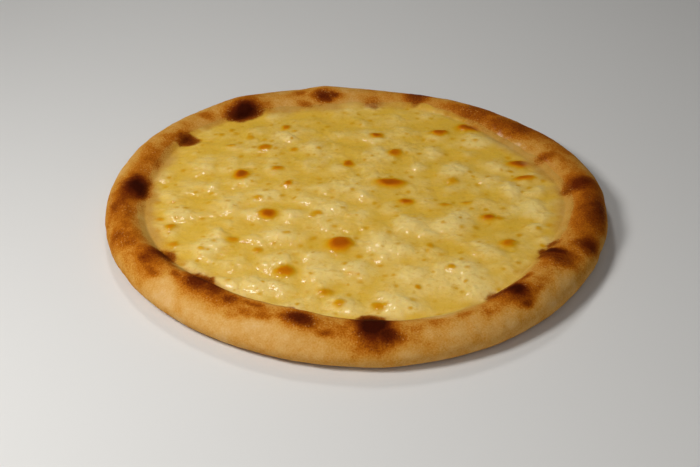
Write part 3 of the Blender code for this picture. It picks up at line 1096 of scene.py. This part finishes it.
def dough_colour(tree, place, field, wet, colours):
    """Colours of baking read at a field, with light specks, and yellowed where the dough is soaked in fat."""
    inputs = {"Bake": attribute_value(tree, field), "Place": place, "Blotch": 0.14, "Grain": 0.5}
    bake = group_value(tree, "baked_speckle", inputs)
    colour = baked_ramp(tree, bake, DOUGH_RAMP, colours)
    specks = group_value(tree, "light_specks", {"Bake": bake, "Place": place})
    colour = mix_colours(tree, times(tree, specks, 0.45), colour, colours.pale_dough)
    pale = one_less(tree, ease_node(tree, bake, 0.3, 0.6))
    return mix_colours(tree, times(tree, wet, pale, 0.6), colour, colours.soaked)


def crust_material(colours):
    """Matt baked dough with fine pores, and a greasy band next to the cheese."""
    material, tree, shader, place = new_material("baked_dough")
    wet = attribute_value(tree, "wet")
    grease = ease_node(tree, noise_node(tree, place, 260.0, detail=2.0), 0.45, 0.65)
    fill_inputs(tree, shader, {
        "Base Color": dough_colour(tree, place, "bake", wet, colours),
        "Roughness": math_node(tree, "SUBTRACT", 0.78, times(tree, wet, 0.22)),
        "Normal": pore_normal(tree, place, size=620.0, pits=0.8, strength=0.55, distance=0.35 * MM),
        "Specular IOR Level": 0.03,
        "Coat Weight": times(tree, wet, grease, 0.25),
        "Coat Roughness": 0.15,
        "Subsurface Weight": 0.12,
        "Subsurface Radius": (1.0, 0.5, 0.25),
        "Subsurface Scale": 1.5 * MM,
    })
    return material


def cheese_colour(tree, place, bake, colours):
    """Yellow where the cheese ran, cream on curds, with streaks of fat, and orange to brown on blisters."""
    cloud = math_node(tree, "SUBTRACT", noise_node(tree, place, 110.0, roughness=0.55, distortion=0.4), 0.5)
    curd = math_node(tree, "ADD", attribute_value(tree, "curd"), times(tree, cloud, 0.7))
    colour = mix_colours(tree, ease_node(tree, curd, -0.1, 1.15), colours.melted, colours.curd)
    streaks = ease_node(tree, noise_node(tree, place, 330.0, detail=2.0, distortion=0.8), 0.54, 0.74)
    colour = mix_colours(tree, times(tree, streaks, 0.36), colour, colours.fat)
    baked = baked_ramp(tree, bake, CHEESE_RAMP, colours)
    return mix_colours(tree, ease_node(tree, bake, 0.04, 0.34), colour, baked)


def cheese_material(colours):
    """Oily melted cheese, which turns to dough colours towards the rim. A thin gloss breaks up into sparkles,
    and leaves the browned places and the rim dry."""
    material, tree, shader, place = new_material("melted_cheese")
    inputs = {"Bake": attribute_value(tree, "bake"), "Place": place, "Blotch": 0.06, "Grain": 0.06}
    bake = group_value(tree, "baked_speckle", inputs)
    rim = attribute_value(tree, "rim")
    dough = dough_colour(tree, place, "toast", rim, colours)
    dough = mix_colours(tree, 1.0, dough, FILM_TINT, blend="MULTIPLY")
    baked_dry = ease_node(tree, bake, 0.22, 0.50)
    dull = times(tree, math_node(tree, "MAXIMUM", rim, baked_dry), 0.52)
    oil = ease_node(tree, noise_node(tree, place, 700.0, detail=1.0), 0.38, 0.62)
    not_dry = one_less(tree, attribute_value(tree, "dry"))
    fill_inputs(tree, shader, {
        "Base Color": mix_colours(tree, rim, cheese_colour(tree, place, bake, colours), dough),
        "Roughness": math_node(tree, "ADD", 0.28, dull),
        "Normal": pore_normal(tree, place, size=420.0, pits=0.1, strength=0.5, distance=0.45 * MM),
        "Specular IOR Level": 0.03,
        "Coat Weight": times(tree, one_less(tree, baked_dry), oil, 0.36, not_dry),
        "Coat Roughness": 0.12,
        "Coat IOR": 1.5,
        "Subsurface Weight": 0.7,
        "Subsurface Radius": (1.0, 0.85, 0.5),
        "Subsurface Scale": 1.7 * MM,
    })
    return material


# Settings


def number(name, description, default, **settings):
    """A number that a user may change."""
    return bpy.props.FloatProperty(name=name, description=description, default=default, **settings)


def length(name, description, default):
    """A length in metres that a user may change."""
    return number(name, description, default, unit="LENGTH", precision=4)


def colour(name, description, *shades):
    """A colour that a user may change, from the red, green and blue bytes that a screen shows."""
    return bpy.props.FloatVectorProperty(
        name=name, description=description, default=linear(*shades), subtype="COLOR", size=4, min=0.0, max=1.0
    )


class FlatbreadSizes(bpy.types.PropertyGroup):
    """Sizes of the bread."""

    crust_radius: length("Crust radius", "Mean radius of the outside of the rim", CRUST_RADIUS)
    cheese_radius: length("Cheese radius", "Mean radius of the edge of the cheese", CHEESE_RADIUS)
    crown_height: length("Crown height", "Mean height of the rim above the table", 18.0 * MM)
    cheese_level: length("Cheese level", "Height of the cheese's edge above the table", 13.0 * MM)
    film_width: length("Film width", "How far the thin edge of the cheese runs up the dough", 7.0 * MM)


class FlatbreadColours(bpy.types.PropertyGroup):
    """Colours of dough and cheese."""

    floury: colour("Floury dough", "The palest dough, low on the side", 223, 182, 124)
    pale_dough: colour("Pale dough", "Dough that is barely baked", 214, 163, 88)
    golden: colour("Golden dough", "Dough that is baked golden", 203, 140, 52)
    toasted: colour("Toasted dough", "Orange brown of a toasted place", 180, 101, 15)
    brown: colour("Brown", "Brown of a blister", 142, 69, 7)
    scorched: colour("Scorched", "Dark brown of a scorched blister", 98, 35, 3)
    burnt: colour("Burnt", "Nearly black middle of the darkest blisters", 56, 13, 1)
    soaked: colour("Soaked dough", "Dough that has taken up fat from the cheese", 206, 154, 70)
    melted: colour("Melted cheese", "Yellow of cheese that has run", 224, 178, 60)
    curd: colour("Curd", "Cream of the curds", 239, 208, 126)
    fat: colour("Fat", "Deep yellow where fat has pooled", 214, 157, 14)
    orange_spot: colour("Orange spot", "Orange of a small blister in the cheese", 208, 128, 4)
    blister: colour("Blister", "Deep orange of a large blister in the cheese", 182, 90, 1)


class FlatbreadStage(bpy.types.PropertyGroup):
    """Floor, light and camera."""

    floor_colour: colour("Floor", "Colour of the floor", 222, 220, 216)
    key_power: number("Key light", "Power of the main light in watts", 3.5)
    top_power: number("Top light", "Power of the overhead light in watts", 1.8)
    fill_power: number("Fill light", "Power of the fill light in watts", 1.25)
    sky_strength: number("Sky", "Strength of the even light", 0.06)
    lens: number("Lens", "Focal length of the camera in millimetres", 65.0)
    elevation: number("Elevation", "How far the camera looks down", math.radians(33.0), subtype="ANGLE")
    distance: length("Distance", "From the camera to the place it looks at", 0.724)


# Operators


class FLATBREAD_OT_crust(bpy.types.Operator):
    """Makes the dough with its puffed and browned rim"""

    bl_idname = "flatbread.crust"
    bl_label = "Crust"

    def execute(self, context):
        piece = crust_mesh(context.scene.flatbread_sizes)
        piece.data.materials.append(crust_material(context.scene.flatbread_colours))
        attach(piece, "root")
        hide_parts("crust")
        return {"FINISHED"}


class FLATBREAD_OT_cheese(bpy.types.Operator):
    """Makes the melted cheese with its curds and blisters"""

    bl_idname = "flatbread.cheese"
    bl_label = "Cheese"

    def execute(self, context):
        piece = cheese_mesh(context.scene.flatbread_sizes)
        piece.data.materials.append(cheese_material(context.scene.flatbread_colours))
        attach(piece, "root")
        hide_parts("cheese")
        return {"FINISHED"}


def make_floor(stage):
    """A large plain floor."""
    half = FLOOR_HALF
    mesh = bpy.data.meshes.new("floor")
    corners = [(-half, -half, 0), (half, -half, 0), (half, half, 0), (-half, half, 0)]
    mesh.from_pydata(corners, [], [(0, 1, 2, 3)])
    floor = add_object("floor", mesh)
    material, tree, shader, place = new_material("plain_floor")
    cloud = times(tree, noise_node(tree, place, 4.0), 0.04)
    shade = mix_colours(tree, cloud, stage.floor_colour, WHITE)
    fill_inputs(tree, shader, {"Base Color": shade, "Roughness": 0.9})
    mesh.materials.append(material)


def make_light(name, direction, distance, side, power):
    """A square light at a distance from the bread, turned to it."""
    light = bpy.data.lights.new(name, "AREA")
    light.energy = power
    light.size = side
    lamp = add_object(name, light)
    lamp.location = Vector(direction).normalized() * distance
    lamp.rotation_euler = (-lamp.location).to_track_quat("-Z", "Y").to_euler()


def make_sky(strength):
    """Even white light from all sides."""
    world = bpy.data.worlds.new("soft_sky")
    world.use_nodes = True
    background = world.node_tree.nodes["Background"]
    fill_inputs(world.node_tree, background, {"Color": WHITE, "Strength": strength})
    return world


def make_camera(stage):
    """A camera in front of the bread that looks down at it."""
    camera = bpy.data.cameras.new("camera")
    camera.lens = stage.lens
    holder = add_object("camera", camera)
    back = Vector((0.0, -math.cos(stage.elevation), math.sin(stage.elevation)))
    holder.location = Vector(LOOKS_AT) * MM + back * stage.distance
    holder.rotation_euler = (0.5 * math.pi - stage.elevation, 0.0, 0.0)
    return holder


class FLATBREAD_OT_stage(bpy.types.Operator):
    """Makes the floor, the lights and the camera"""

    bl_idname = "flatbread.stage"
    bl_label = "Stage"

    def execute(self, context):
        scene = context.scene
        stage = scene.flatbread_stage
        make_floor(stage)
        for name, direction, distance, side in LIGHTS:
            make_light(f"{name}_light", direction, distance, side, getattr(stage, f"{name}_power"))
        scene.world = make_sky(stage.sky_strength)
        scene.camera = make_camera(stage)
        scene.view_settings.view_transform = "Standard"
        return {"FINISHED"}


class FLATBREAD_PT_panel(bpy.types.Panel):
    """Sizes, colours and operators of the bread"""

    bl_label = "Flatbread"
    bl_idname = "FLATBREAD_PT_panel"
    bl_space_type = "VIEW_3D"
    bl_region_type = "UI"
    bl_category = "Flatbread"

    def draw(self, context):
        layout = self.layout
        for operator in OPERATORS:
            layout.operator(operator.bl_idname)
        for settings in SETTINGS:
            group = getattr(context.scene, settings)
            box = layout.box()
            for setting in type(group).__annotations__:
                box.prop(group, setting)


SETTINGS = {
    "flatbread_sizes": FlatbreadSizes,
    "flatbread_colours": FlatbreadColours,
    "flatbread_stage": FlatbreadStage,
}
OPERATORS = (FLATBREAD_OT_stage, FLATBREAD_OT_crust, FLATBREAD_OT_cheese)
CLASSES = (*SETTINGS.values(), *OPERATORS, FLATBREAD_PT_panel)


def register():
    """Makes the settings, operators and panel known to Blender."""
    for item in CLASSES:
        bpy.utils.register_class(item)
    for name, kind in SETTINGS.items():
        setattr(bpy.types.Scene, name, bpy.props.PointerProperty(type=kind))


def unregister():
    """Takes them out of Blender again."""
    for name in SETTINGS:
        delattr(bpy.types.Scene, name)
    for item in reversed(CLASSES):
        bpy.utils.unregister_class(item)


def main():
    """Makes the stage and both pieces."""
    register()
    bpy.ops.flatbread.stage()
    bpy.ops.flatbread.crust()
    bpy.ops.flatbread.cheese()


if __name__ == "__main__":
    main()
